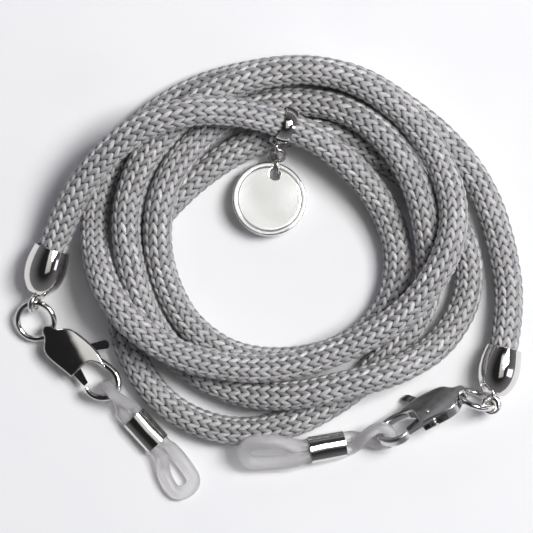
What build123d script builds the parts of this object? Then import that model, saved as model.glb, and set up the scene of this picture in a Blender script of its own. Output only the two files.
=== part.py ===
"""Eyeglass retainer strap: a braided cord with a clasp and a silicone temple loop at each end.

The strap lies on a table in a loose coil. X runs to the right, Y away from the
viewer, Z up, and the table is at Z = 0. Units are millimetres.
"""

from build123d import *

import os
from math import cos, radians, sin, tan

os.makedirs("parts", exist_ok=True)

# ---------------------------------------------------------------- driving sizes
CENTRE_X, CENTRE_Y = -0.096, -0.073  # middle of the metal and silicone pieces in the layout

CORD_R = 2.35

CAP_LENGTH = 7.5
CAP_PROFILE = ((2.8, 0), (3.3, 3.1), (2.95, 5.6), (2.05, 7.15))  # radius and depth from the mouth
CAP_END_R = 1.7
CAP_BORE_R = 2.40
CAP_GRIP = 4.9  # how far the cord goes into its cap
GLUE_LENGTH = 0.6

EYE_RING_R = 1.2
EYE_WIRE_R = 0.45
EYE_STEM_R = 0.55
EYE_STEM_IN_CAP = 1.2
EYE_CENTRE = 9.2  # from the cap's mouth
EYE_TURN = 25  # degrees that the left eye is turned in its cap

JUMP_RING_R = 2.93
JUMP_WIRE_R = 0.47

# The clasp's outlines are drawn from its tail hole: x along it, y to its thumb tab.
CLASP_T = 2.8  # thickness over both cheeks
CLASP_EDGE = 0.3
DOME_MIDDLE = 5.0  # where the cheeks are thickest
DOME_DROP = 0.35  # how much thinner they are at each side
DOME_HALF_W = 3.2
DOME_LENGTH_R = 45.0  # radius of their curve along the clasp
DOME_ARC = 30  # degrees of that curve, well past both ends
BODY_TOP = ((-1.35, 0), (-0.95, 0.7), (0.2, 1.0), (1.4, 2.15), (4.0, 2.85), (7.4, 2.8), (10.2, 1.75))
BODY_THROAT = ((10.2, 1.75), (8.7, 1.3), (7.8, 0.7), (7.45, -0.4), (7.2, -3.0))
BODY_BELLY = ((7.2, -3.0), (3.8, -3.15), (1.0, -2.6), (-0.2, -1.2), (-0.95, -0.8), (-1.35, 0))
HOOK_T = 1.6
HOOK_BAR = (14.1, -0.2)  # middle of the hook's front bar
HOOK_POINTS = ((6.6, 1.9), (9.6, 1.98), (12.5, 1.85), HOOK_BAR, (13.1, -2.15), (10.15, -2.65))
HOOK_SECTIONS = ((0, 1.2, 0.5), (0.3, 1.2, 0.5), (0.62, 1.2, 0.5), (0.86, 1.0, 0.4), (1, 0.6, 0.28))
TAIL_HOLE_R = 0.95
SLOT_T = 1.5  # the lever's slot between the cheeks
SLOT_FROM, SLOT_TO = 3.0, 8.5
PIVOT = (5.6, -1.3)
PIN_R = 0.40
LEVER_T = 0.9
LEVER_LOW = -0.70  # height of the lever's lower face in its slot
LEVER_BORE_R = 0.45
LEVER_GATE = ((5.3, -2.35), (9.75, -2.7), (9.8, -1.9), (7.4, -1.0), (7.4, 2.9), (8.5, 4.2))
LEVER_TAB = ((8.5, 4.2), (8.1, 4.95), (7.15, 4.8))
LEVER_BACK = ((7.15, 4.8), (5.95, 2.9), (4.75, -0.8))
LEVER_HUB = ((4.75, -0.8), (4.55, -1.65), (5.3, -2.35))
SPRING_COIL_R = 0.68
SPRING_WIRE_R = 0.17
SPRING_HEIGHT = 0.47
SPRING_TAIL_LEG, SPRING_TAB_LEG = 2.2, 2.6

STRAND_R = 0.9  # silicone strand
STRAND_GAP = 0.03  # half the gap between the two strands in the ferrule
STRAIGHT_PAST_FERRULE = 1.4
STRAIGHT_BEFORE_FERRULE = 1.1
BIGHT_R = 1.80  # the strand's middle line round the hook's bar
BIGHT_DEPTH = 1.2  # how far its straight sides reach past the bar's middle
FLANK_FROM_FERRULE = 4.8  # where the temple loop reaches its full width
LOOP_BENDS = (5.0, 3.0, 2.0, 1.5)  # radii from the temple loop's flank to the hook
END_SHARE = 0.93  # share of the half width that the round ends' arcs take

FERRULE_LENGTH = 5.8
FERRULE_W, FERRULE_H = 4.3, 2.9
FERRULE_WALL = 0.22

BAIL_STATION = 54.3  # where the charm hangs, along the cord from its left end
BAIL_BORE_R = 2.45
BAIL_RIM_R = 2.75
BAIL_CROWN_R = 2.95
BAIL_WIDTH = 2.0
BAIL_TURN = 40  # degrees below the horizontal at which its eyelet points
EYELET_R, EYELET_WIRE_R = 0.85, 0.30
LINK_WIRE_R = 0.30
TAG_RING_R = 1.55
LINK_SLACK = 0.05
TAG_R = 5.9
TAG_T = 1.4
TAG_EDGE = 0.25
TAG_HOLE_R = 0.85
TAG_HOLE_OFFSET = 4.1

# ---------------------------------------------------------------- layout of the ends
# The tail hole's place, the way the clasp runs from there, and its roll in degrees.
CLASP_LAYOUT = {
    "left": {"hole": (-34.65, -4.75, 2.1), "along": (0.74, -0.67, 0.045), "roll": 0},
    "right": {"hole": (30.1, -14.5, 4.5), "along": (-0.876, -0.482, -0.06), "roll": -130},
}

# Which way the far side of each jump ring lies, and how far its middle is off the chord.
RING_LAYOUT = {
    "left": {"belly": (-0.88, -0.47, -0.25), "sag": 1.25},
    "right": {"belly": (0.22, -0.43, 0.88), "sag": 0.0},
}

# Each ferrule's middle and the way the strands run through it; the temple loop's heading,
# its length from the ferrule's mouth, its height, half width and lean; and where the
# silicone sits on the hook's bar, from the tail hole.
FERRULE_LAYOUT = {
    "left": {
        "middle": (-19.52, -20.37, 1.47), "along": (0.672, -0.739, 0.0),
        "beyond": (0.528, -0.849), "reach": 9.6, "height": 0.9, "half": 1.95, "lean": 0, "seat": (14.1, -0.5),
    },
    "right": {
        "middle": (9.25, -22.98, 2.02), "along": (-0.983, -0.18, 0.2),
        "beyond": (-1.0, -0.04), "reach": 11.3, "height": 3.9, "half": 2.4, "lean": -45, "seat": (14.1, 0.1),
    },
}

CHARM_SIDE = (-0.33, -0.94, 0.0)  # the side of the cord on which the charm hangs
TAG_CENTRE = (0.06, 16.4, 2.3)
TAG_NORMAL = (0.10, 0.12, 1.0)
TAG_TO_HOLE = (0.24, 0.97)
TAG_RING_OUT, TAG_RING_RISE = 1.45, 0.35  # the tag ring's middle from the tag's hole

# ---------------------------------------------------------------- the cord's route
ROUTE = [
    (-35.8, 4.0, 3.3), (-32.8, 13.1, 4.4), (-28.3, 20.6, 8.2), (-21.5, 27.2, 11.0),
    (-12.5, 30.4, 12.6), (-3.6, 30.1, 9.8), (5.0, 27.4, 7.6), (12.8, 22.3, 5.9),
    (18.7, 15.0, 3.4), (21.2, 6.7, 2.4), (19.0, -1.7, 2.4), (12.5, -7.4, 2.4),
    (3.7, -9.6, 2.4), (-5.2, -9.0, 2.4), (-12.3, -4.4, 2.4), (-16.4, 2.6, 4.4),
    (-17.9, 10.1, 7.3), (-16.7, 18.3, 7.3), (-12.3, 25.2, 4.4), (-5.3, 30.7, 2.4),
    (3.4, 32.3, 2.6), (12.1, 31.0, 5.0), (18.8, 26.1, 7.3), (22.9, 19.8, 7.5),
    (25.0, 12.8, 7.0), (25.8, 5.6, 4.8), (24.2, -2.5, 2.4), (18.3, -9.4, 2.4),
    (10.9, -15.8, 2.4), (2.0, -20.1, 2.4), (-7.5, -20.7, 2.4), (-16.0, -16.9, 2.4),
    (-21.8, -9.4, 2.4), (-23.9, -0.4, 2.4), (-21.8, 8.3, 2.4), (-15.5, 16.4, 2.4),
    (-7.4, 23.1, 2.4), (1.5, 27.1, 2.4), (10.6, 26.9, 2.4), (19.0, 22.5, 2.4),
    (26.6, 16.7, 2.4), (31.2, 10.4, 2.4), (32.3, 1.7, 2.4), (28.0, -6.3, 3.6),
    (20.9, -10.7, 7.2), (12.1, -13.1, 7.4), (3.4, -15.0, 6.0), (-5.3, -14.4, 3.2),
    (-13.3, -10.2, 2.4), (-19.0, -3.3, 4.8), (-22.0, 5.6, 7.6), (-22.8, 14.2, 7.3),
    (-19.9, 23.1, 6.4), (-12.8, 30.7, 7.3), (-4.5, 35.3, 7.3), (5.0, 37.2, 7.3),
    (13.7, 35.6, 7.3), (21.7, 30.2, 7.3), (27.2, 22.5, 7.4), (29.8, 13.9, 9.2),
    (27.4, 5.2, 10.0), (21.0, -2.6, 8.0), (11.8, -7.5, 7.3), (2.6, -10.4, 7.3),
    (-6.4, -10.4, 7.3), (-14.8, -8.2, 8.6), (-22.3, -3.1, 9.7), (-26.6, 3.9, 8.2),
    (-27.9, 11.5, 3.6), (-26.6, 19.6, 2.4), (-21.8, 27.2, 2.4), (-12.9, 33.4, 2.4),
    (-4.5, 36.0, 2.4), (5.0, 37.4, 2.4), (14.0, 35.8, 2.4), (21.8, 31.0, 2.4),
    (28.7, 25.3, 2.4), (34.2, 18.0, 2.4), (37.2, 9.1, 2.4), (38.7, -1.8, 3.2),
    (36.3, -12.0, 3.5),
]
ARC_SHARE = 0.45  # share of the shorter run that each arc takes

UP = Vector(0, 0, 1)


def at(x, y, z=0.0):
    """A point of the layout in the part's own frame."""
    return Vector(x - CENTRE_X, y - CENTRE_Y, z)


def unit(x, y, z=0.0):
    """A direction as a unit vector."""
    return Vector(x, y, z).normalized()


def square_to(vector, axis):
    """The unit vector nearest to a vector that is square to an axis."""
    return (vector - axis * vector.dot(axis)).normalized()


def left_of(along):
    """The level unit vector to the left of a direction."""
    return UP.cross(along).normalized()


def keep(piece, name):
    """Label a finished piece and write its STEP file."""
    piece.label = name
    export_step(piece, f"parts/{name}.step")


# ---------------------------------------------------------------- cord
def arc_radii(points):
    """The radius of the arc at each inner point of a route."""
    radii = []
    for before, here, after in zip(points, points[1:], points[2:]):
        come, go = here - before, after - here
        half_turn = radians(come.get_angle(go)) / 2
        radii.append(ARC_SHARE * min(come.length, go.length) / tan(half_turn))
    return radii


route = [at(*point) for point in ROUTE]
cord_radii = arc_radii(route)

with BuildLine() as cord_line:
    FilletPolyline(*route, radius=cord_radii)
cord_path = cord_line.wire()

with BuildPart() as cord:
    with BuildSketch(Plane(route[0], z_dir=route[1] - route[0])) as cord_section:
        Circle(CORD_R)
    sweep(path=cord_path)
keep(cord.part, "cord")

cord_ratio = cord.part.volume / (cord_section.sketch.area * cord_path.length)
print("cord radii:", [round(radius, 1) for radius in cord_radii])
print("cord length:", round(cord_path.length, 1), "mm")
print("cord volume over section times length:", round(cord_ratio, 5))


# ---------------------------------------------------------------- end caps
def cap_frame(end, inner):
    """The plane at a cap's mouth, with its normal towards the cap's closed end."""
    outward = (end - inner).normalized()
    return Plane(end - outward * CAP_GRIP, x_dir=left_of(outward), z_dir=outward)


def end_cap(frame):
    """A barrel-shaped cap with a bore for the cord and a small hole for the eye's stem."""
    floor_depth = CAP_GRIP + GLUE_LENGTH
    with BuildPart() as cap:
        with BuildSketch(Plane(frame.origin, x_dir=frame.x_dir, z_dir=-frame.y_dir)):
            with BuildLine():
                bulge = Spline(*CAP_PROFILE)
                Polyline(
                    bulge @ 1,
                    (CAP_END_R, CAP_LENGTH),
                    (EYE_STEM_R, CAP_LENGTH),
                    (EYE_STEM_R, floor_depth),
                    (CAP_BORE_R, floor_depth),
                    (CAP_BORE_R, 0),
                    bulge @ 0,
                )
            make_face()
        revolve(axis=Axis(frame.origin, frame.z_dir))
    return cap.part


def cap_glue(frame):
    """The glue between the cord's cut end and the cap's floor."""
    with BuildPart() as glue:
        with BuildSketch(frame.offset(CAP_GRIP)):
            Circle(CAP_BORE_R)
        extrude(amount=GLUE_LENGTH)
    return glue.part


def wire_ring(centre, normal, toward, ring_r, wire_r):
    """A round wire ring, from its centre, its normal and one direction in its plane."""
    with BuildPart() as ring:
        with BuildSketch(Plane(centre + toward * ring_r, x_dir=toward, z_dir=normal.cross(toward))):
            Circle(wire_r)
        revolve(axis=Axis(centre, normal))
    return ring.part


def cap_eye(frame, normal):
    """The eye of round wire at the cap's end, with the stem that holds it in the cap."""
    centre = frame.origin + frame.z_dir * EYE_CENTRE
    with BuildPart() as eye:
        ring_start = centre + frame.z_dir * EYE_RING_R
        with BuildSketch(Plane(ring_start, x_dir=frame.z_dir, z_dir=normal.cross(frame.z_dir))):
            Circle(EYE_WIRE_R)
        revolve(axis=Axis(centre, normal))
        stem_start = CAP_LENGTH - EYE_STEM_IN_CAP
        with BuildSketch(frame.offset(stem_start)):
            Circle(EYE_STEM_R)
        extrude(amount=EYE_CENTRE - EYE_RING_R - stem_start)
    return eye.part


# ---------------------------------------------------------------- lobster clasps
def clasp_frame(layout):
    """The clasp's plane: x along it, y to its thumb tab, z across both cheeks."""
    along = unit(*layout["along"])
    across = left_of(along).rotate(Axis((0, 0, 0), along), layout["roll"])
    return Plane(at(*layout["hole"]), x_dir=along, z_dir=along.cross(across))


def clasp_point(frame, x, y, z=0.0):
    """A point of the clasp in the part's own frame."""
    return frame.from_local_coords(Vector(x, y, z))


def cheek_dome(frame, side):
    """The space under one domed cheek: an arc across the clasp, turned about a far axis."""
    top, rim = CLASP_T / 2, CLASP_T / 2 - DOME_DROP
    middle = frame.origin + frame.x_dir * DOME_MIDDLE
    section = Plane(middle, x_dir=frame.y_dir, z_dir=frame.y_dir.cross(frame.z_dir * side))
    with BuildPart() as dome:
        with BuildSketch(section):
            with BuildLine():
                crown = ThreePointArc((-DOME_HALF_W, rim), (0, top), (DOME_HALF_W, rim))
                Polyline(crown @ 1, (DOME_HALF_W, -CLASP_T), (-DOME_HALF_W, -CLASP_T), crown @ 0)
            make_face()
        hinge = Axis(middle - frame.z_dir * side * (DOME_LENGTH_R - top), frame.y_dir)
        revolve(axis=hinge, revolution_arc=DOME_ARC / 2)
        mirror(about=section)
    return dome.part


def clasp_body(frame):
    """The cast body: a tail lug, two cheeks with the lever's slot between them, and the hook."""
    with BuildPart() as body:
        with BuildSketch(frame):
            with BuildLine():
                Spline(*BODY_TOP)
                Spline(*BODY_THROAT)
                Spline(*BODY_BELLY)
            make_face()
        extrude(amount=CLASP_T, both=True)
        for side in (1, -1):
            add(cheek_dome(frame, side), mode=Mode.INTERSECT)
        by_height = body.faces().sort_by(Axis(frame.origin, frame.z_dir))
        fillet(by_height[0].edges() + by_height[-1].edges(), CLASP_EDGE)
        with BuildLine(mode=Mode.PRIVATE) as hook_line:
            Spline([clasp_point(frame, *point) for point in HOOK_POINTS])
        hook_path = hook_line.wire()
        for share, width, corner in HOOK_SECTIONS:
            place = Plane(hook_path @ share, x_dir=frame.z_dir, z_dir=hook_path % share)
            with BuildSketch(place):
                RectangleRounded(HOOK_T, width, corner)
        sweep(path=hook_path, multisection=True)
        with BuildSketch(frame):
            with Locations(((SLOT_FROM + SLOT_TO) / 2, 0)):
                Rectangle(SLOT_TO - SLOT_FROM, 3 * DOME_HALF_W)
        extrude(amount=SLOT_T / 2, both=True, mode=Mode.SUBTRACT)
        with BuildSketch(Plane(frame.origin, x_dir=frame.x_dir, z_dir=frame.y_dir)):
            Circle(TAIL_HOLE_R)
        extrude(amount=CLASP_T, both=True, mode=Mode.SUBTRACT)
        with BuildSketch(Plane(clasp_point(frame, *PIVOT), x_dir=frame.x_dir, z_dir=frame.z_dir)):
            Circle(PIN_R)
        extrude(amount=CLASP_T, both=True, mode=Mode.SUBTRACT)
    return body.part


def clasp_pin(frame):
    """The rivet through both cheeks that the lever turns on."""
    with BuildPart() as pin:
        with BuildSketch(Plane(clasp_point(frame, *PIVOT), x_dir=frame.x_dir, z_dir=frame.z_dir)):
            Circle(PIN_R)
        extrude(amount=CLASP_T / 2, both=True)
    return pin.part


def clasp_lever(frame):
    """The lever: a gate that closes the hook, a hub, and the thumb tab beyond the cheeks."""
    with BuildPart() as lever:
        with BuildSketch(frame.offset(LEVER_LOW)):
            with BuildLine():
                Polyline(*LEVER_GATE)
                ThreePointArc(*LEVER_TAB)
                Polyline(*LEVER_BACK)
                ThreePointArc(*LEVER_HUB)
            make_face()
        extrude(amount=LEVER_T)
        with BuildSketch(Plane(clasp_point(frame, *PIVOT), x_dir=frame.x_dir, z_dir=frame.z_dir)):
            Circle(LEVER_BORE_R)
        extrude(amount=CLASP_T, both=True, mode=Mode.SUBTRACT)
    return lever.part


def clasp_spring(frame):
    """The torsion spring: a coil round the pin, one leg to the tail and one along the tab."""
    centre = clasp_point(frame, *PIVOT, SPRING_HEIGHT)
    tail_leg = Plane(centre - frame.y_dir * SPRING_COIL_R, x_dir=frame.y_dir, z_dir=-frame.x_dir)
    tab_leg = Plane(centre + frame.x_dir * SPRING_COIL_R, x_dir=frame.x_dir, z_dir=frame.y_dir)
    with BuildPart() as spring:
        with BuildSketch(Plane(centre + frame.x_dir * SPRING_COIL_R, x_dir=frame.x_dir, z_dir=-frame.y_dir)):
            Circle(SPRING_WIRE_R)
        revolve(axis=Axis(centre, frame.z_dir))
        for leg, length in ((tail_leg, SPRING_TAIL_LEG), (tab_leg, SPRING_TAB_LEG)):
            with BuildSketch(leg):
                Circle(SPRING_WIRE_R)
            extrude(amount=length)
    return spring.part


# ---------------------------------------------------------------- silicone temple loops
def silicone_loop(clasp, layout):
    """A closed loop: round the hook's bar, side by side through the ferrule, out to the temple."""
    bar = clasp_point(clasp, *layout["seat"])
    middle = at(*layout["middle"])
    along = unit(*layout["along"])
    beyond = unit(*layout["beyond"])
    over = clasp.z_dir if clasp.z_dir.Z > 0 else -clasp.z_dir
    away = square_to(middle - bar, over)
    mouth = middle + along * FERRULE_LENGTH / 2
    grip = middle - along * (FERRULE_LENGTH / 2 + STRAIGHT_BEFORE_FERRULE)
    bend = mouth + along * STRAIGHT_PAST_FERRULE
    near = left_of(along) * (STRAND_R + STRAND_GAP)
    lean = radians(layout["lean"])
    far = (left_of(beyond) * cos(lean) + UP * sin(lean)) * layout["half"]
    tip = mouth + beyond * (layout["reach"] - STRAND_R) + UP * (layout["height"] - mouth.Z)
    flank = tip - beyond * (layout["reach"] - STRAND_R - FLANK_FROM_FERRULE)
    bends = [END_SHARE * layout["half"], *LOOP_BENDS, END_SHARE * BIGHT_R]
    with BuildPart() as loop:
        for hand in (1, -1):
            with BuildLine() as line:
                FilletPolyline(
                    tip,
                    tip + far * hand,
                    flank + far * hand,
                    bend + near * hand,
                    grip + near * hand,
                    bar + away * BIGHT_DEPTH + over * BIGHT_R * hand,
                    bar - away * BIGHT_R + over * BIGHT_R * hand,
                    bar - away * BIGHT_R,
                    radius=bends,
                )
            with BuildSketch(Plane(tip, z_dir=far * hand)):
                Circle(STRAND_R)
            sweep(path=line.wire())
    return loop.part


def ferrule(layout):
    """The flattened tube that holds the two strands together."""
    along = unit(*layout["along"])
    with BuildPart() as tube:
        with BuildSketch(Plane(at(*layout["middle"]), x_dir=left_of(along), z_dir=along)):
            Ellipse(FERRULE_W / 2, FERRULE_H / 2)
            Ellipse(FERRULE_W / 2 - FERRULE_WALL, FERRULE_H / 2 - FERRULE_WALL, mode=Mode.SUBTRACT)
        extrude(amount=FERRULE_LENGTH / 2, both=True)
    return tube.part


# ---------------------------------------------------------------- both ends
cap_frames = {"left": cap_frame(route[0], route[1]), "right": cap_frame(route[-1], route[-2])}
clasp_frames = {side: clasp_frame(layout) for side, layout in CLASP_LAYOUT.items()}
eye_centres = {side: frame.origin + frame.z_dir * EYE_CENTRE for side, frame in cap_frames.items()}
eye_normals = {
    "left": cap_frames["left"].x_dir.rotate(Axis((0, 0, 0), cap_frames["left"].z_dir), EYE_TURN),
    "right": cap_frames["right"].y_dir,
}
ring_frames = {}

for side in ("left", "right"):
    cap = cap_frames[side]
    clasp = clasp_frames[side]
    chord = clasp.origin - eye_centres[side]
    belly = square_to(unit(*RING_LAYOUT[side]["belly"]), chord.normalized())
    ring_centre = (clasp.origin + eye_centres[side]) / 2 + belly * RING_LAYOUT[side]["sag"]
    ring_frames[side] = Plane(ring_centre, x_dir=belly, z_dir=chord.cross(belly).normalized())

    keep(end_cap(cap), f"{side}_end_cap")
    keep(cap_glue(cap), f"{side}_cap_glue")
    keep(cap_eye(cap, eye_normals[side]), f"{side}_cap_eye")
    jump_ring = wire_ring(ring_centre, ring_frames[side].z_dir, belly, JUMP_RING_R, JUMP_WIRE_R)
    keep(jump_ring, f"{side}_jump_ring")
    keep(clasp_body(clasp), f"{side}_clasp_body")
    keep(clasp_pin(clasp), f"{side}_clasp_pin")
    keep(clasp_lever(clasp), f"{side}_clasp_lever")
    keep(clasp_spring(clasp), f"{side}_clasp_spring")
    keep(silicone_loop(clasp, FERRULE_LAYOUT[side]), f"{side}_silicone_loop")
    keep(ferrule(FERRULE_LAYOUT[side]), f"{side}_ferrule")

# ---------------------------------------------------------------- charm
bail_centre = cord_path.position_at(BAIL_STATION, position_mode=PositionMode.LENGTH)
bail_axis = cord_path.tangent_at(BAIL_STATION, position_mode=PositionMode.LENGTH)
bail_side = square_to(unit(*CHARM_SIDE), bail_axis)
bail_under = square_to(-UP, bail_axis)
bail_under = square_to(bail_under, bail_side)
bail_out = bail_side * cos(radians(BAIL_TURN)) + bail_under * sin(radians(BAIL_TURN))
eyelet_centre = bail_centre + bail_out * (BAIL_CROWN_R + EYELET_R - EYELET_WIRE_R)

tag_normal = unit(*TAG_NORMAL)
tag_outward = square_to(unit(*TAG_TO_HOLE), tag_normal)
tag_centre = at(*TAG_CENTRE)
tag_hole = tag_centre + tag_outward * TAG_HOLE_OFFSET
tag_ring_centre = tag_hole + tag_outward * TAG_RING_OUT + tag_normal * TAG_RING_RISE

chain = tag_ring_centre - eyelet_centre
chain_dir = chain.normalized()
chain_side = chain_dir.cross(UP).normalized()
chain_top = chain_side.cross(chain_dir)
link_inner = (chain.length + 3 * LINK_SLACK - (EYELET_R - EYELET_WIRE_R) - (TAG_RING_R - LINK_WIRE_R)) / 4
link_r = link_inner + LINK_WIRE_R
upper_link_centre = eyelet_centre + chain_dir * (EYELET_R - EYELET_WIRE_R + link_inner - LINK_SLACK)
lower_link_centre = upper_link_centre + chain_dir * (2 * link_inner - LINK_SLACK)

with BuildPart() as charm_bail:
    with BuildSketch(Plane(bail_centre, x_dir=bail_out, z_dir=bail_out.cross(bail_axis))):
        with BuildLine():
            crown = ThreePointArc(
                (BAIL_RIM_R, -BAIL_WIDTH / 2), (BAIL_CROWN_R, 0), (BAIL_RIM_R, BAIL_WIDTH / 2)
            )
            Polyline(crown @ 1, (BAIL_BORE_R, BAIL_WIDTH / 2), (BAIL_BORE_R, -BAIL_WIDTH / 2), crown @ 0)
        make_face()
    revolve(axis=Axis(bail_centre, bail_axis))
    eyelet_toward = square_to(bail_out, chain_top)
    eyelet_start = eyelet_centre + eyelet_toward * EYELET_R
    with BuildSketch(Plane(eyelet_start, x_dir=eyelet_toward, z_dir=chain_top.cross(eyelet_toward))):
        Circle(EYELET_WIRE_R)
    revolve(axis=Axis(eyelet_centre, chain_top))
    with BuildSketch(Plane(bail_centre, z_dir=bail_axis)):
        Circle(BAIL_BORE_R)
    extrude(amount=BAIL_WIDTH, both=True, mode=Mode.SUBTRACT)
keep(charm_bail.part, "charm_bail")
keep(wire_ring(upper_link_centre, chain_side, chain_dir, link_r, LINK_WIRE_R), "charm_link_upper")
keep(wire_ring(lower_link_centre, chain_top, chain_dir, link_r, LINK_WIRE_R), "charm_link_lower")
keep(wire_ring(tag_ring_centre, chain_side, chain_dir, TAG_RING_R, LINK_WIRE_R), "charm_tag_ring")

with BuildPart() as charm_tag:
    with BuildSketch(Plane(tag_centre - tag_normal * TAG_T / 2, x_dir=tag_outward, z_dir=tag_normal)):
        Circle(TAG_R)
        with Locations((TAG_HOLE_OFFSET, 0)):
            Circle(TAG_HOLE_R, mode=Mode.SUBTRACT)
    extrude(amount=TAG_T)
    fillet(charm_tag.edges().filter_by(GeomType.CIRCLE), TAG_EDGE)
keep(charm_tag.part, "charm_tag")
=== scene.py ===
"""Look of the eyeglass retainer strap: braided cord, polished fittings, silicone loops."""
import math

import bpy
import numpy as np
from mathutils import Matrix, Vector


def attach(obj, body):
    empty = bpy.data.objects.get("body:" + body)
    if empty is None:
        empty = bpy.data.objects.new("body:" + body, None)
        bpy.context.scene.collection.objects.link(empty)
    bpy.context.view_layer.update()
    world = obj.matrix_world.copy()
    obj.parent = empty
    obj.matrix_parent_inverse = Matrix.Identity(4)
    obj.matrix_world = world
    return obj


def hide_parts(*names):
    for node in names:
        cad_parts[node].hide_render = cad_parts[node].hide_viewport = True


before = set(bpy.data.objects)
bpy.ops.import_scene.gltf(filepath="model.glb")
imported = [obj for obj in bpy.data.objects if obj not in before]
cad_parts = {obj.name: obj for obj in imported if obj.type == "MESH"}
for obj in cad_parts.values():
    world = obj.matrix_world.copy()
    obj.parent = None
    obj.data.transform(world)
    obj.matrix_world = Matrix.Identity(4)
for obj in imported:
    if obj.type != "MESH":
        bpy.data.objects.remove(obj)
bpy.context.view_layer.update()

MM = 0.001
UP = Vector((0, 0, 1))
CENTRE = Vector((-0.096, -0.073, 0))  # middle of the metal and silicone pieces in the layout, in mm


def at(point):
    """A point of the layout, in millimetres in the shared frame."""
    return Vector(point) - CENTRE


def left_of(along):
    """The level unit vector to the left of a direction."""
    return UP.cross(along).normalized()


# ---------------------------------------------------------------- camera
VIEW_CENTRE = Vector((-0.22, 5.78, 3.0)) * MM
VIEW_WIDTH = 84.6 * MM
VIEW_DISTANCE = 0.9
SENSOR = 36

camera_data = bpy.data.cameras.new("camera")
camera_data.sensor_width = SENSOR
camera_data.lens = SENSOR * VIEW_DISTANCE / VIEW_WIDTH
camera = bpy.data.objects.new("camera", camera_data)
camera.location = VIEW_CENTRE + UP * VIEW_DISTANCE
bpy.context.scene.collection.objects.link(camera)
bpy.context.scene.camera = camera


# ---------------------------------------------------------------- curves and tubes
SPLINE_STEPS = 16  # steps from one control point of a spline to the next


def add_mesh(name, vertices, faces, smooth=True):
    """A mesh object in the scene."""
    mesh = bpy.data.meshes.new(name)
    mesh.from_pydata(vertices, [], faces)
    mesh.polygons.foreach_set("use_smooth", [smooth] * len(mesh.polygons))
    mesh.update()
    piece = bpy.data.objects.new(name, mesh)
    bpy.context.scene.collection.objects.link(piece)
    return piece


def spline_points(points, closed=False):
    """Points along the NURBS spline that has these control points."""
    curve = bpy.data.curves.new("line", "CURVE")
    curve.dimensions = "3D"
    curve.resolution_u = SPLINE_STEPS
    spline = curve.splines.new("NURBS")
    spline.points.add(len(points) - 1)
    for place, point in zip(spline.points, points):
        place.co = (*point, 1)
    spline.use_cyclic_u = closed
    spline.order_u = 3
    spline.use_endpoint_u = not closed
    holder = bpy.data.objects.new("line", curve)
    bpy.context.scene.collection.objects.link(holder)
    line = bpy.data.meshes.new_from_object(holder)
    co = np.empty(len(line.vertices) * 3)
    line.vertices.foreach_get("co", co)
    bpy.data.objects.remove(holder)
    bpy.data.curves.remove(curve)
    bpy.data.meshes.remove(line)
    return co.reshape(-1, 3)


def even_points(line, step, closed=False):
    """The line again, with points an even step apart, and the length along it at each."""
    if closed:
        line = np.vstack([line, line[:1]])
    along = np.concatenate([[0], np.cumsum(np.linalg.norm(np.diff(line, axis=0), axis=1))])
    count = int(round(along[-1] / step))
    lengths = np.linspace(0, along[-1], count + 1)
    if closed:
        lengths = lengths[:-1]
    return np.stack([np.interp(lengths, along, line[:, k]) for k in range(3)], axis=1), lengths


def frames_along(line, closed=False):
    """Tangents and two side directions that turn as little as they can along a line."""
    if closed:
        tangents = np.roll(line, -1, axis=0) - np.roll(line, 1, axis=0)
    else:
        tangents = np.gradient(line, axis=0)
    tangents /= np.linalg.norm(tangents, axis=1)[:, None]
    sides = np.empty_like(line)
    side = np.cross(tangents[0], (0, 0, 1))
    for k, tangent in enumerate(tangents):
        side = side - tangent * side.dot(tangent)
        side /= np.linalg.norm(side)
        sides[k] = side
    if closed:
        last = np.cross(tangents[0], sides[0])
        drift = math.atan2(sides[-1].dot(last), sides[-1].dot(sides[0]))
        turn = -drift * np.arange(len(line)) / len(line)
        others = np.cross(tangents, sides)
        sides = sides * np.cos(turn)[:, None] + others * np.sin(turn)[:, None]
    return tangents, sides, np.cross(tangents, sides)


def tube(name, line, radii, around, closed=False):
    """A tube mesh round a line. radii is an array of one radius per ring and per angle."""
    tangents, sides, others = frames_along(line, closed)
    turn = np.arange(around) * 2 * math.pi / around
    ring = sides[:, None] * np.cos(turn)[None, :, None] + others[:, None] * np.sin(turn)[None, :, None]
    vertices = (line[:, None] + ring * radii[:, :, None]).reshape(-1, 3)
    rings = len(line)
    spans = rings if closed else rings - 1
    faces = []
    for i in range(spans):
        here, there = i * around, (i + 1) % rings * around
        for j in range(around):
            k = (j + 1) % around
            faces.append((here + j, here + k, there + k, there + j))
    if not closed:
        faces.append(tuple(range(around))[::-1])
        faces.append(tuple((rings - 1) * around + j for j in range(around)))
    return add_mesh(name, vertices, faces)


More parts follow.
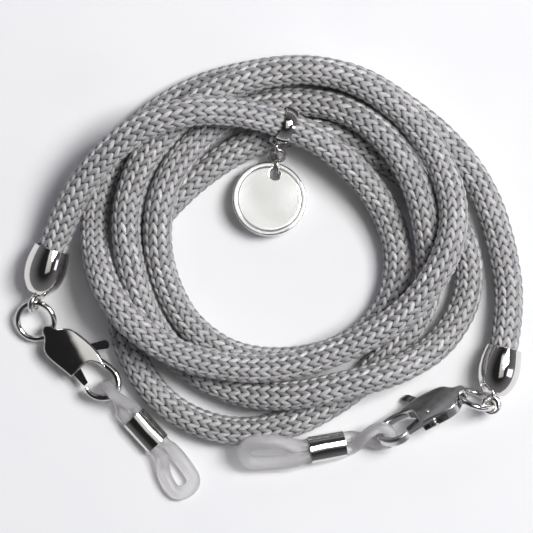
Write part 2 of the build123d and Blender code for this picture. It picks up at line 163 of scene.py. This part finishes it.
# ---------------------------------------------------------------- cord
ROUTE = [
    (-35.8, 4.0, 3.3), (-32.8, 13.1, 4.4), (-28.3, 20.6, 8.2), (-21.5, 27.2, 11.0),
    (-12.5, 30.4, 12.6), (-3.6, 30.1, 9.8), (5.0, 27.4, 7.6), (12.8, 22.3, 5.9),
    (18.7, 15.0, 3.4), (21.2, 6.7, 2.4), (19.0, -1.7, 2.4), (12.5, -7.4, 2.4),
    (3.7, -9.6, 2.4), (-5.2, -9.0, 2.4), (-12.3, -4.4, 2.4), (-16.4, 2.6, 4.4),
    (-17.9, 10.1, 7.3), (-16.7, 18.3, 7.3), (-12.3, 25.2, 4.4), (-5.3, 30.7, 2.4),
    (3.4, 32.3, 2.6), (12.1, 31.0, 5.0), (18.8, 26.1, 7.3), (22.9, 19.8, 7.5),
    (25.0, 12.8, 7.0), (25.8, 5.6, 4.8), (24.2, -2.5, 2.4), (18.3, -9.4, 2.4),
    (10.9, -15.8, 2.4), (2.0, -20.1, 2.4), (-7.5, -20.7, 2.4), (-16.0, -16.9, 2.4),
    (-21.8, -9.4, 2.4), (-23.9, -0.4, 2.4), (-21.8, 8.3, 2.4), (-15.5, 16.4, 2.4),
    (-7.4, 23.1, 2.4), (1.5, 27.1, 2.4), (10.6, 26.9, 2.4), (19.0, 22.5, 2.4),
    (26.6, 16.7, 2.4), (31.2, 10.4, 2.4), (32.3, 1.7, 2.4), (28.0, -6.3, 3.6),
    (20.9, -10.7, 7.2), (12.1, -13.1, 7.4), (3.4, -15.0, 6.0), (-5.3, -14.4, 3.2),
    (-13.3, -10.2, 2.4), (-19.0, -3.3, 4.8), (-22.0, 5.6, 7.6), (-22.8, 14.2, 7.3),
    (-19.9, 23.1, 6.4), (-12.8, 30.7, 7.3), (-4.5, 35.3, 7.3), (5.0, 37.2, 7.3),
    (13.7, 35.6, 7.3), (21.7, 30.2, 7.3), (27.2, 22.5, 7.4), (29.8, 13.9, 9.2),
    (27.4, 5.2, 10.0), (21.0, -2.6, 8.0), (11.8, -7.5, 7.3), (2.6, -10.4, 7.3),
    (-6.4, -10.4, 7.3), (-14.8, -8.2, 8.6), (-22.3, -3.1, 9.7), (-26.6, 3.9, 8.2),
    (-27.9, 11.5, 3.6), (-26.6, 19.6, 2.4), (-21.8, 27.2, 2.4), (-12.9, 33.4, 2.4),
    (-4.5, 36.0, 2.4), (5.0, 37.4, 2.4), (14.0, 35.8, 2.4), (21.8, 31.0, 2.4),
    (28.7, 25.3, 2.4), (34.2, 18.0, 2.4), (37.2, 9.1, 2.4), (38.7, -1.8, 3.2),
    (36.3, -12.0, 3.5),
]
CORD_D = 4.7 * MM
ROWS = 18  # rows of stitches round the cord
STITCH = 1.62 * MM  # one V of the braid, along the cord
SLANT = 0.55  # stitches that a strand moves along while it crosses a row
STITCH_REACH = 0.80  # half the length of a stitch, in rows
STITCH_HALF = 0.53  # half the width of a stitch, in stitches
RELIEF = 0.45 * MM
RELIEF_IN = 0.95  # share of the relief that lies inside the cord's nominal radius
RING_STEP = 0.27 * MM
AROUND = 72
ROW_START = 4 * ROWS  # row numbers start well above zero, so that none is negative
WANDER_SPOTS, WANDER_SPREAD, WANDER_ROWS = 90, 0.6, 0.35  # how the rows twist round the cord
SWELL_SPOTS, SWELL = 120, 0.03 * MM  # how the cord's thickness varies

cord_points = [at(point) * MM for point in ROUTE]
cord_line = spline_points(cord_points)
cord_path, cord_along = even_points(cord_line, RING_STEP)


def stitch_height(along, row, shift):
    """Height of the stitches of one row, which reach a little into the rows beside it."""
    number = np.floor(row) + shift
    across = row - number - 0.5
    hand = np.where(number % 2 == 0, 1.0, -1.0)
    place = along + hand * SLANT * across
    within = place - np.floor(place) - 0.5
    return np.sqrt((1 - (within / STITCH_HALF) ** 2 - (across / STITCH_REACH) ** 2).clip(0, 1))


def braid_relief(along, row):
    """Height of the braid, from 0 in the pits to 1 on the stitches."""
    return np.max([stitch_height(along, row, shift) for shift in (-1, 0, 1)], axis=0)


def along_cord(values):
    """Values at even places along the cord, read at each ring of its mesh."""
    return np.interp(cord_along, np.linspace(0, cord_along[-1], len(values)), values)


def make_cord():
    """The braided tube, with stitches along it and rows round it as its UV layer."""
    along, row = np.meshgrid(cord_along / STITCH, np.arange(AROUND) * ROWS / AROUND, indexing="ij")
    rng = np.random.default_rng(5)
    row = row + along_cord(rng.normal(0, WANDER_SPREAD, WANDER_SPOTS))[:, None] * WANDER_ROWS
    swell = along_cord(rng.normal(0, 1, SWELL_SPOTS))[:, None] * SWELL
    radii = CORD_D / 2 - RELIEF_IN * RELIEF + RELIEF * braid_relief(along, row + ROW_START)
    piece = tube("cord_braid", cord_path, radii - abs(swell), AROUND)

    mesh = piece.data
    vertex = np.empty(len(mesh.loops), dtype=int)
    mesh.loops.foreach_get("vertex_index", vertex)
    ring, angle = vertex // AROUND, vertex % AROUND
    # The last face round each ring ends at a full turn, not back at the start.
    wraps = np.zeros(len(mesh.loops), dtype=bool)
    quads = (len(cord_path) - 1) * AROUND
    wraps[: quads * 4].reshape(-1, 4)[AROUND - 1 :: AROUND, 1:3] = True
    step = np.where(wraps, ROWS, angle * ROWS / AROUND)
    uv = np.stack([along[ring, 0], row[ring, 0] + step + ROW_START], axis=1)
    mesh.uv_layers.new(name="braid").data.foreach_set("uv", uv.ravel())
    return piece


# ---------------------------------------------------------------- node helpers
def new_material(name):
    """A material with nodes, and its shader."""
    material = bpy.data.materials.new(name)
    material.use_nodes = True
    nodes = material.node_tree.nodes
    return material, nodes["Principled BSDF"]


def node(tree, kind, **settings):
    """A new node with these settings."""
    made = tree.nodes.new(kind)
    for name, value in settings.items():
        setattr(made, name, value)
    return made


def maths(tree, operation, *values):
    """A Math node with numbers or sockets for inputs; returns its output."""
    made = node(tree, "ShaderNodeMath", operation=operation)
    for k, value in enumerate(values):
        if isinstance(value, (int, float)):
            made.inputs[k].default_value = value
        else:
            tree.links.new(value, made.inputs[k])
    return made.outputs[0]


def combine(tree, x, y, z=0.0):
    """A vector from three numbers or sockets."""
    made = node(tree, "ShaderNodeCombineXYZ")
    for k, value in enumerate((x, y, z)):
        if isinstance(value, (int, float)):
            made.inputs[k].default_value = value
        else:
            tree.links.new(value, made.inputs[k])
    return made.outputs[0]


def noise(tree, vector, scale, detail=2.0, roughness=0.5):
    """Noise between 0 and 1."""
    made = node(tree, "ShaderNodeTexNoise")
    made.inputs["Scale"].default_value = scale
    made.inputs["Detail"].default_value = detail
    made.inputs["Roughness"].default_value = roughness
    tree.links.new(vector, made.inputs["Vector"])
    return made.outputs["Fac"]


def ramp(tree, fac, *stops):
    """A colour ramp from places and colours."""
    made = node(tree, "ShaderNodeValToRGB")
    elements = made.color_ramp.elements
    while len(elements) < len(stops):
        elements.new(0.5)
    for element, (place, colour) in zip(elements, stops):
        element.position = place
        element.color = (*colour, 1)
    tree.links.new(fac, made.inputs["Fac"])
    return made.outputs["Color"]


def mix(tree, fac, a, b, blend_type="MIX"):
    """A mix of two colours or sockets."""
    made = node(tree, "ShaderNodeMix", data_type="RGBA", blend_type=blend_type)
    for socket, value in ((made.inputs["Factor"], fac), (made.inputs["A"], a), (made.inputs["B"], b)):
        if isinstance(value, (int, float)):
            socket.default_value = value
        elif isinstance(value, tuple):
            socket.default_value = (*value, 1)
        else:
            tree.links.new(value, socket)
    return made.outputs["Result"]


def bump(tree, height, strength, distance):
    """A normal from a height."""
    made = node(tree, "ShaderNodeBump")
    made.inputs["Strength"].default_value = strength
    made.inputs["Distance"].default_value = distance
    tree.links.new(height, made.inputs["Height"])
    return made.outputs["Normal"]


def times(tree, value, factor):
    return maths(tree, "MULTIPLY", value, factor)


def minus(tree, a, b):
    return maths(tree, "SUBTRACT", a, b)


def times_plus(tree, value, factor, more):
    """value * factor + more"""
    return maths(tree, "MULTIPLY_ADD", value, factor, more)


def object_place(tree):
    """The place on the object, in metres."""
    return node(tree, "ShaderNodeTexCoord").outputs["Object"]


# ---------------------------------------------------------------- materials
WHITE = (1.0, 1.0, 1.0)

# Yarn colours, from the dark to the bright end of its random shading; the rows of one hand are painted
# lit and those of the other painted shaded, as their slanted fibres catch the key light or turn from
# it.
YARN_SHADES = (0.30, 0.55, 0.76)
YARN_PAINTED_LIT = ((0.30, 0.294, 0.282), (0.53, 0.518, 0.50), (0.88, 0.865, 0.84))
YARN_PAINTED_SHADED = ((0.17, 0.171, 0.182), (0.31, 0.312, 0.326), (0.58, 0.58, 0.60))
# Painted shade in the pits between stitches.
YARN_PAINTED_GAP_SHADE = (0.03, 0.03, 0.034)
GAP_FROM, GAP_TO = 0.14, 0.62  # heights between which a stitch is painted darker towards the gap beside it, as painted shade
FIBRES_WIDE, FIBRES_LONG = 15.0, 1.8  # fineness of the fibres across a stitch and along it
STITCH_SEED, STITCH_NOISE, ROW_SEED = 3.3, 7.31, 5.1  # give each stitch its own shade and fibres
BROAD_ALONG, BROAD_ROUND, BROAD_NOISE = 0.06, 0.2, 3.0  # slow changes over many stitches
FIBRE_SHARE, STITCH_SHARE, BROAD_SHARE = 0.55, 0.35, 0.18  # of each noise in the yarn's shade
FIBRE_HEIGHT = 0.22  # of a fibre, as a share of a stitch's height

# Scales of noise, per metre.
CLOUD_NOISE, MARK_NOISE, WAVE_NOISE = 600.0, 5200.0, 160.0
MILK_NOISE, SPECK_NOISE = 420.0, 3200.0
FLOOR_NOISE = 60.0

BRIGHT_TINT, SATIN_TINT, STEEL_TINT = (0.80, 0.79, 0.76), (0.66, 0.66, 0.65), (0.62, 0.62, 0.63)
CLOUDED = 0.90  # brightness of the cloudy patches of the metal, beside the rest
POLISH_LOW, POLISH_HIGH = (0.76, 0.76, 0.75), (0.90, 0.90, 0.89)
# The groove inside the tag's edge is painted darker, as painted shade.
GROOVE_PAINTED_SHADE = (0.4, 0.4, 0.4)
GROOVE = (0.84, 0.865, 0.885, 0.91)  # its slopes and floor, as shares of the tag's radius
MILK_LOW, MILK_HIGH = (0.955, 0.935, 0.94), (0.99, 0.98, 0.98)
SILICONE_IOR = 1.41
FLOOR_LOW, FLOOR_HIGH = (0.93, 0.93, 0.94), (0.95, 0.95, 0.955)


def braid_material():
    """Shiny grey yarn in a herringbone braid, with fine fibres along every stitch; rows of one hand
    painted lit, the other painted shaded, and painted shade in the pits.
    """
    material, shader = new_material("braid")
    tree = material.node_tree
    place = node(tree, "ShaderNodeUVMap", uv_map="braid")
    split = node(tree, "ShaderNodeSeparateXYZ")
    tree.links.new(place.outputs["UV"], split.inputs[0])
    along, row = split.outputs["X"], split.outputs["Y"]
    floor_row = maths(tree, "FLOOR", row)

    def stitches(shift):
        """For a row: height, place across and along the stitch, parity, stitch and row number."""
        number = maths(tree, "ADD", floor_row, float(shift))
        across = minus(tree, minus(tree, row, number), 0.5)
        odd = maths(tree, "MODULO", number, 2.0)
        strand = times_plus(tree, times_plus(tree, odd, -2.0 * SLANT, SLANT), across, along)
        within = minus(tree, maths(tree, "FRACT", strand), 0.5)
        wide = maths(tree, "POWER", maths(tree, "DIVIDE", within, STITCH_HALF), 2.0)
        long = maths(tree, "POWER", maths(tree, "DIVIDE", across, STITCH_REACH), 2.0)
        inside = maths(tree, "MAXIMUM", minus(tree, minus(tree, 1.0, wide), long), 0.0)
        return maths(tree, "SQRT", inside), within, across, odd, maths(tree, "FLOOR", strand), number

    height, within, across, odd, stitch, number = stitches(0)
    for shift in (-1, 1):
        other = stitches(shift)
        wins = maths(tree, "GREATER_THAN", other[0], height)
        chosen = []
        for old, new in zip((height, within, across, odd, stitch, number), other):
            chosen.append(times_plus(tree, wins, minus(tree, new, old), old))
        height, within, across, odd, stitch, number = chosen

    own = noise(tree, combine(tree, stitch, number, STITCH_SEED), STITCH_NOISE, 0.0)
    fibre_place = combine(
        tree,
        times(tree, within, FIBRES_WIDE),
        times(tree, across, FIBRES_LONG),
        times_plus(tree, number, ROW_SEED, stitch),
    )
    fibres = noise(tree, fibre_place, 1.0, 3.0, 0.6)
    broad_place = combine(tree, times(tree, along, BROAD_ALONG), times(tree, row, BROAD_ROUND))
    broad = noise(tree, broad_place, BROAD_NOISE)

    shade = times_plus(tree, fibres, FIBRE_SHARE, times(tree, own, STITCH_SHARE))
    shade = times_plus(tree, broad, BROAD_SHARE, shade)
    # Painted light: rows of one hand get the painted lit yarn, rows of the other the painted shaded
    # yarn.
    light = ramp(tree, shade, *zip(YARN_SHADES, YARN_PAINTED_LIT))
    dark = ramp(tree, shade, *zip(YARN_SHADES, YARN_PAINTED_SHADED))
    # Painted shade: the low parts of each stitch darken towards the pits between stitches.
    gap = ramp(tree, height, (GAP_FROM, YARN_PAINTED_GAP_SHADE), (GAP_TO, WHITE))
    colour = mix(tree, 1.0, mix(tree, odd, light, dark), gap, "MULTIPLY")
    tree.links.new(colour, shader.inputs["Base Color"])
    relief = times_plus(tree, fibres, FIBRE_HEIGHT, height)
    tree.links.new(bump(tree, relief, 0.8, 0.30 * MM), shader.inputs["Normal"])
    tree.links.new(times_plus(tree, fibres, 0.25, 0.30), shader.inputs["Roughness"])
    shader.inputs["Specular IOR Level"].default_value = 0.7
    shader.inputs["Sheen Weight"].default_value = 0.15
    shader.inputs["Sheen Roughness"].default_value = 0.4
    return material


def metal_material(name, tint, rough, brushed):
    """Bright plated metal with fine polishing marks and faint cloudiness."""
    material, shader = new_material(name)
    tree = material.node_tree
    place = object_place(tree)
    marks = noise(tree, place, MARK_NOISE)
    colour = mix(tree, noise(tree, place, CLOUD_NOISE), tuple(CLOUDED * c for c in tint), tint)
    tree.links.new(colour, shader.inputs["Base Color"])
    tree.links.new(times_plus(tree, marks, brushed, rough), shader.inputs["Roughness"])
    tree.links.new(bump(tree, marks, 0.05, 0.02 * MM), shader.inputs["Normal"])
    shader.inputs["Metallic"].default_value = 1.0
    return material


def tag_material(centre, rim):
    """Mirror-polished metal, a little uneven, with a groove inside the tag's edge, painted darker as
    painted shade.
    """
    material, shader = new_material("mirror_metal")
    tree = material.node_tree
    place = object_place(tree)
    away = node(tree, "ShaderNodeVectorMath", operation="DISTANCE")
    tree.links.new(place, away.inputs[0])
    away.inputs[1].default_value = centre
    radius = maths(tree, "DIVIDE", away.outputs["Value"], rim)
    # Painted shade: the groove's floor darkens the metal's colour, besides its bump.
    groove = ramp(tree, radius, *zip(GROOVE, (WHITE, GROOVE_PAINTED_SHADE, GROOVE_PAINTED_SHADE, WHITE)))
    wave = noise(tree, place, WAVE_NOISE, 1.0)
    marks = noise(tree, place, MARK_NOISE)
    polish = ramp(tree, wave, (0.3, POLISH_LOW), (0.7, POLISH_HIGH))
    tree.links.new(mix(tree, 1.0, polish, groove, "MULTIPLY"), shader.inputs["Base Color"])
    tree.links.new(times_plus(tree, marks, 0.05, 0.06), shader.inputs["Roughness"])
    height = times_plus(tree, wave, 2.0, groove)
    tree.links.new(bump(tree, height, 0.4, 0.06 * MM), shader.inputs["Normal"])
    shader.inputs["Metallic"].default_value = 1.0
    return material


def silicone_material():
    """Milky, faintly frosted silicone that light passes into."""
    material, shader = new_material("silicone")
    tree = material.node_tree
    place = object_place(tree)
    specks = noise(tree, place, SPECK_NOISE)
    colour = ramp(tree, noise(tree, place, MILK_NOISE, 3.0), (0.35, MILK_LOW), (0.65, MILK_HIGH))
    tree.links.new(colour, shader.inputs["Base Color"])
    tree.links.new(times_plus(tree, specks, 0.12, 0.30), shader.inputs["Roughness"])
    tree.links.new(bump(tree, specks, 0.12, 0.03 * MM), shader.inputs["Normal"])
    shader.inputs["Subsurface Weight"].default_value = 0.6
    shader.inputs["Subsurface Radius"].default_value = (1.2, 1.1, 1.1)
    shader.inputs["Subsurface Scale"].default_value = 1.5 * MM
    shader.inputs["Transmission Weight"].default_value = 0.8
    shader.inputs["IOR"].default_value = SILICONE_IOR
    return material


def floor_material():
    """A plain, pale, matt table."""
    material, shader = new_material("floor")
    tree = material.node_tree
    grain = noise(tree, object_place(tree), FLOOR_NOISE)
    colour = ramp(tree, grain, (0.3, FLOOR_LOW), (0.7, FLOOR_HIGH))
    tree.links.new(colour, shader.inputs["Base Color"])
    shader.inputs["Roughness"].default_value = 0.85
    shader.inputs["Specular IOR Level"].default_value = 0.2
    return material


# ---------------------------------------------------------------- build the cord
cord = make_cord()
cord.data.materials.append(braid_material())
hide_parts("cord")
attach(cord, "strap")

# ---------------------------------------------------------------- silicone loops
# The layout of each end, in millimetres and degrees: the clasp's tail hole, the way the clasp
# runs and its roll; where the silicone sits on the hook's bar, from the tail hole; the
# ferrule's middle and the way the strands run through it; and the temple loop's heading, its
# length from the ferrule's mouth, its height, half width and lean.
ENDS = {
    "left": {
        "hole": (-34.65, -4.75, 2.1), "clasp": (0.74, -0.67, 0.045), "roll": 0, "seat": (14.1, -0.5),
        "middle": (-19.52, -20.37, 1.47), "along": (0.672, -0.739, 0.0),
        "beyond": (0.528, -0.849, 0.0), "reach": 9.6, "height": 0.9, "half": 1.95, "lean": 0,
    },
    "right": {
        "hole": (30.1, -14.5, 4.5), "clasp": (-0.876, -0.482, -0.06), "roll": -130, "seat": (14.1, 0.1),
        "middle": (9.25, -22.98, 2.02), "along": (-0.983, -0.18, 0.2),
        "beyond": (-1.0, -0.04, 0.0), "reach": 11.3, "height": 3.9, "half": 2.4, "lean": -45,
    },
}
BIGHT_R = 1.80  # radius of the strand's middle line round the hook's bar
FERRULE_HALF = 2.9  # half its length
STRAND_R = 0.9
STRAND_GAP = 0.03  # half the gap between the two strands in the ferrule
FREE_STRAND_R = 1.12  # where the strand is no longer squeezed
FREE_FROM, FREE_OVER = 0.7, 1.3  # how far past the ferrule it starts to widen, and over what length
FLANK_FROM_FERRULE = 4.8  # where the temple loop reaches its full width
LOOP_STEP = 0.16
LOOP_AROUND = 28


def hook_bar(end):
    """The middle of the silicone's seat on the hook's bar, and the direction over the bar."""
    along = Vector(end["clasp"]).normalized()
    across = Matrix.Rotation(math.radians(end["roll"]), 3, along) @ left_of(along)
    over = along.cross(across)
    if over.z < 0:
        over = -over
    seat_along, seat_across = end["seat"]
    return at(end["hole"]) + along * seat_along + across * seat_across, over


def half_loop(end, hand):
    """Control points of one strand, from the hook's bar to the far end of the temple loop."""
    bar, over = hook_bar(end)
    middle = at(end["middle"])
    along = Vector(end["along"]).normalized()
    beyond = Vector(end["beyond"]).normalized()
    away = middle - bar
    away = (away - over * away.dot(over)).normalized()
    lean = math.radians(end["lean"])
    near = left_of(along) * (STRAND_R + STRAND_GAP) * hand
    far = (left_of(beyond) * math.cos(lean) + UP * math.sin(lean)) * end["half"] * hand
    over = over * BIGHT_R * hand
    mouth = middle + along * FERRULE_HALF
    level = UP * (end["height"] - mouth.z)
    return [
        bar - away * BIGHT_R + over * 0.95,
        bar + away * 0.9 + over * 1.12,
        middle - along * (FERRULE_HALF + 1.6) + near * 1.15,
        middle - along * (FERRULE_HALF + 0.3) + near,
        middle + near,
        mouth + along * 1.2 + near,
        mouth + along * 2.2 + near * 1.2,
        mouth + beyond * FLANK_FROM_FERRULE + level + far,
        mouth + beyond * (end["reach"] - STRAND_R) + level + far,
    ]


def silicone_loop(side, end):
    """The closed strand: round the hook's bar, squeezed in the ferrule, and out round the temple."""
    control = half_loop(end, 1) + half_loop(end, -1)[::-1]
    line = spline_points([point * MM for point in control], closed=True)
    line, _ = even_points(line, LOOP_STEP * MM, closed=True)
    along = Vector(end["along"]).normalized()
    past = (line / MM - np.array(at(end["middle"]))) @ np.array(along) - FERRULE_HALF
    free = np.clip((past - FREE_FROM) / FREE_OVER, 0, 1)
    free = free * free * (3 - 2 * free)
    radius = (STRAND_R + (FREE_STRAND_R - STRAND_R) * free) * MM
    radii = np.repeat(radius[:, None], LOOP_AROUND, axis=1)
    return tube(f"{side}_silicone", line, radii, LOOP_AROUND, closed=True)


silicone = silicone_material()
for side, end in ENDS.items():
    piece = silicone_loop(side, end)
    piece.data.materials.append(silicone)
    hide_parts(f"{side}_silicone_loop")
    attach(piece, f"{side}_loop")

# ---------------------------------------------------------------- metal
TAG_CENTRE = at((0.06, 16.4, 2.3)) * MM
TAG_R = 5.9 * MM
SMOOTH_ANGLE = math.radians(28)

bright = metal_material("bright_metal", BRIGHT_TINT, rough=0.05, brushed=0.05)
satin = metal_material("satin_metal", SATIN_TINT, rough=0.16, brushed=0.14)
steel = metal_material("spring_steel", STEEL_TINT, rough=0.22, brushed=0.10)
mirror = tag_material(TAG_CENTRE, TAG_R)
FINISH = {"right_clasp_body": satin, "clasp_spring": steel, "charm_tag": mirror}

for name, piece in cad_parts.items():
    if name == "cord" or "silicone" in name:
        continue
    finish = bright
    for word, material in FINISH.items():
        if name.endswith(word):
            finish = material
    piece.data.materials.clear()
    piece.data.materials.append(finish)
    piece.data.polygons.foreach_set("use_smooth", [True] * len(piece.data.polygons))
    piece.data.set_sharp_from_angle(angle=SMOOTH_ANGLE)
    weighted = piece.modifiers.new("normals", "WEIGHTED_NORMAL")
    weighted.keep_sharp = True
    weighted.weight = 100

# ---------------------------------------------------------------- floor and light
FLOOR_HALF = 3
corners = [(x * FLOOR_HALF, y * FLOOR_HALF, 0) for x, y in ((-1, -1), (1, -1), (1, 1), (-1, 1))]
floor = add_mesh("floor", corners, [(0, 1, 2, 3)], smooth=False)
floor.data.materials.append(floor_material())


def softbox(name, place, width, height, power, colour):
    """A rectangular area light that faces the strap."""
    data = bpy.data.lights.new(name, "AREA")
    data.shape = "RECTANGLE"
    data.size = width
    data.size_y = height
    data.energy = power
    data.color = colour
    light = bpy.data.objects.new(name, data)
    light.location = place
    light.rotation_euler = (-Vector(place)).to_track_quat("-Z", "Y").to_euler()
    bpy.context.scene.collection.objects.link(light)


VIOLET = (0.80, 0.74, 1.0)
softbox("key", (0.44, 0.17, 0.76), width=0.32, height=0.40, power=7.5, colour=WHITE)
softbox("side", (0.85, -0.25, 0.45), width=0.25, height=0.6, power=0.9, colour=VIOLET)
softbox("back", (-0.35, 0.85, 0.55), width=0.5, height=0.25, power=0.8, colour=VIOLET)

# An overhead softbox a little to the right, brighter towards the far side, in a dark room.
# Its sides are given by how far a direction leans along X and along Y as it rises by one.
BOX_X = (-0.05, 0.50)
BOX_Y = (-0.45, 0.50)
BOX_EDGE = 0.10  # how softly it ends
BOX_NEAR, BOX_FAR = (0.52, 0.52, 0.51), (0.90, 0.90, 0.89)
BOX_NEAR_LEAN, BOX_FAR_LEAN = -0.3, 0.4
LEAST_RISE = 0.02  # keeps the leaning finite near the horizon
ROOM_LOW, ROOM_MIDDLE, ROOM_HIGH = (0.20, 0.195, 0.215), (0.11, 0.108, 0.115), (0.018, 0.017, 0.018)
ROOM_MIDDLE_RISE, ROOM_HIGH_RISE = 0.55, 0.85

world = bpy.data.worlds.new("studio")
world.use_nodes = True
bpy.context.scene.world = world
tree = world.node_tree
split = node(tree, "ShaderNodeSeparateXYZ")
tree.links.new(node(tree, "ShaderNodeTexCoord").outputs["Generated"], split.inputs[0])
rise = maths(tree, "MAXIMUM", split.outputs["Z"], LEAST_RISE)
inside = maths(tree, "GREATER_THAN", split.outputs["Z"], 0.0)
for axis, (low, high) in (("X", BOX_X), ("Y", BOX_Y)):
    leaning = maths(tree, "DIVIDE", split.outputs[axis], rise)
    for edge, sign in ((low, 1.0), (high, -1.0)):
        past = times(tree, minus(tree, leaning, edge), sign / BOX_EDGE)
        share = node(tree, "ShaderNodeMapRange", interpolation_type="SMOOTHSTEP")
        tree.links.new(past, share.inputs["Value"])
        inside = times(tree, inside, share.outputs["Result"])
room_stops = ((0.0, ROOM_LOW), (ROOM_MIDDLE_RISE, ROOM_MIDDLE), (ROOM_HIGH_RISE, ROOM_HIGH))
room = ramp(tree, split.outputs["Z"], *room_stops)
far_share = node(tree, "ShaderNodeMapRange")
tree.links.new(leaning, far_share.inputs["Value"])
far_share.inputs["From Min"].default_value = BOX_NEAR_LEAN
far_share.inputs["From Max"].default_value = BOX_FAR_LEAN
box = mix(tree, far_share.outputs["Result"], BOX_NEAR, BOX_FAR)
tree.links.new(mix(tree, inside, room, box), tree.nodes["Background"].inputs["Color"])

bpy.context.scene.view_settings.view_transform = "Standard"
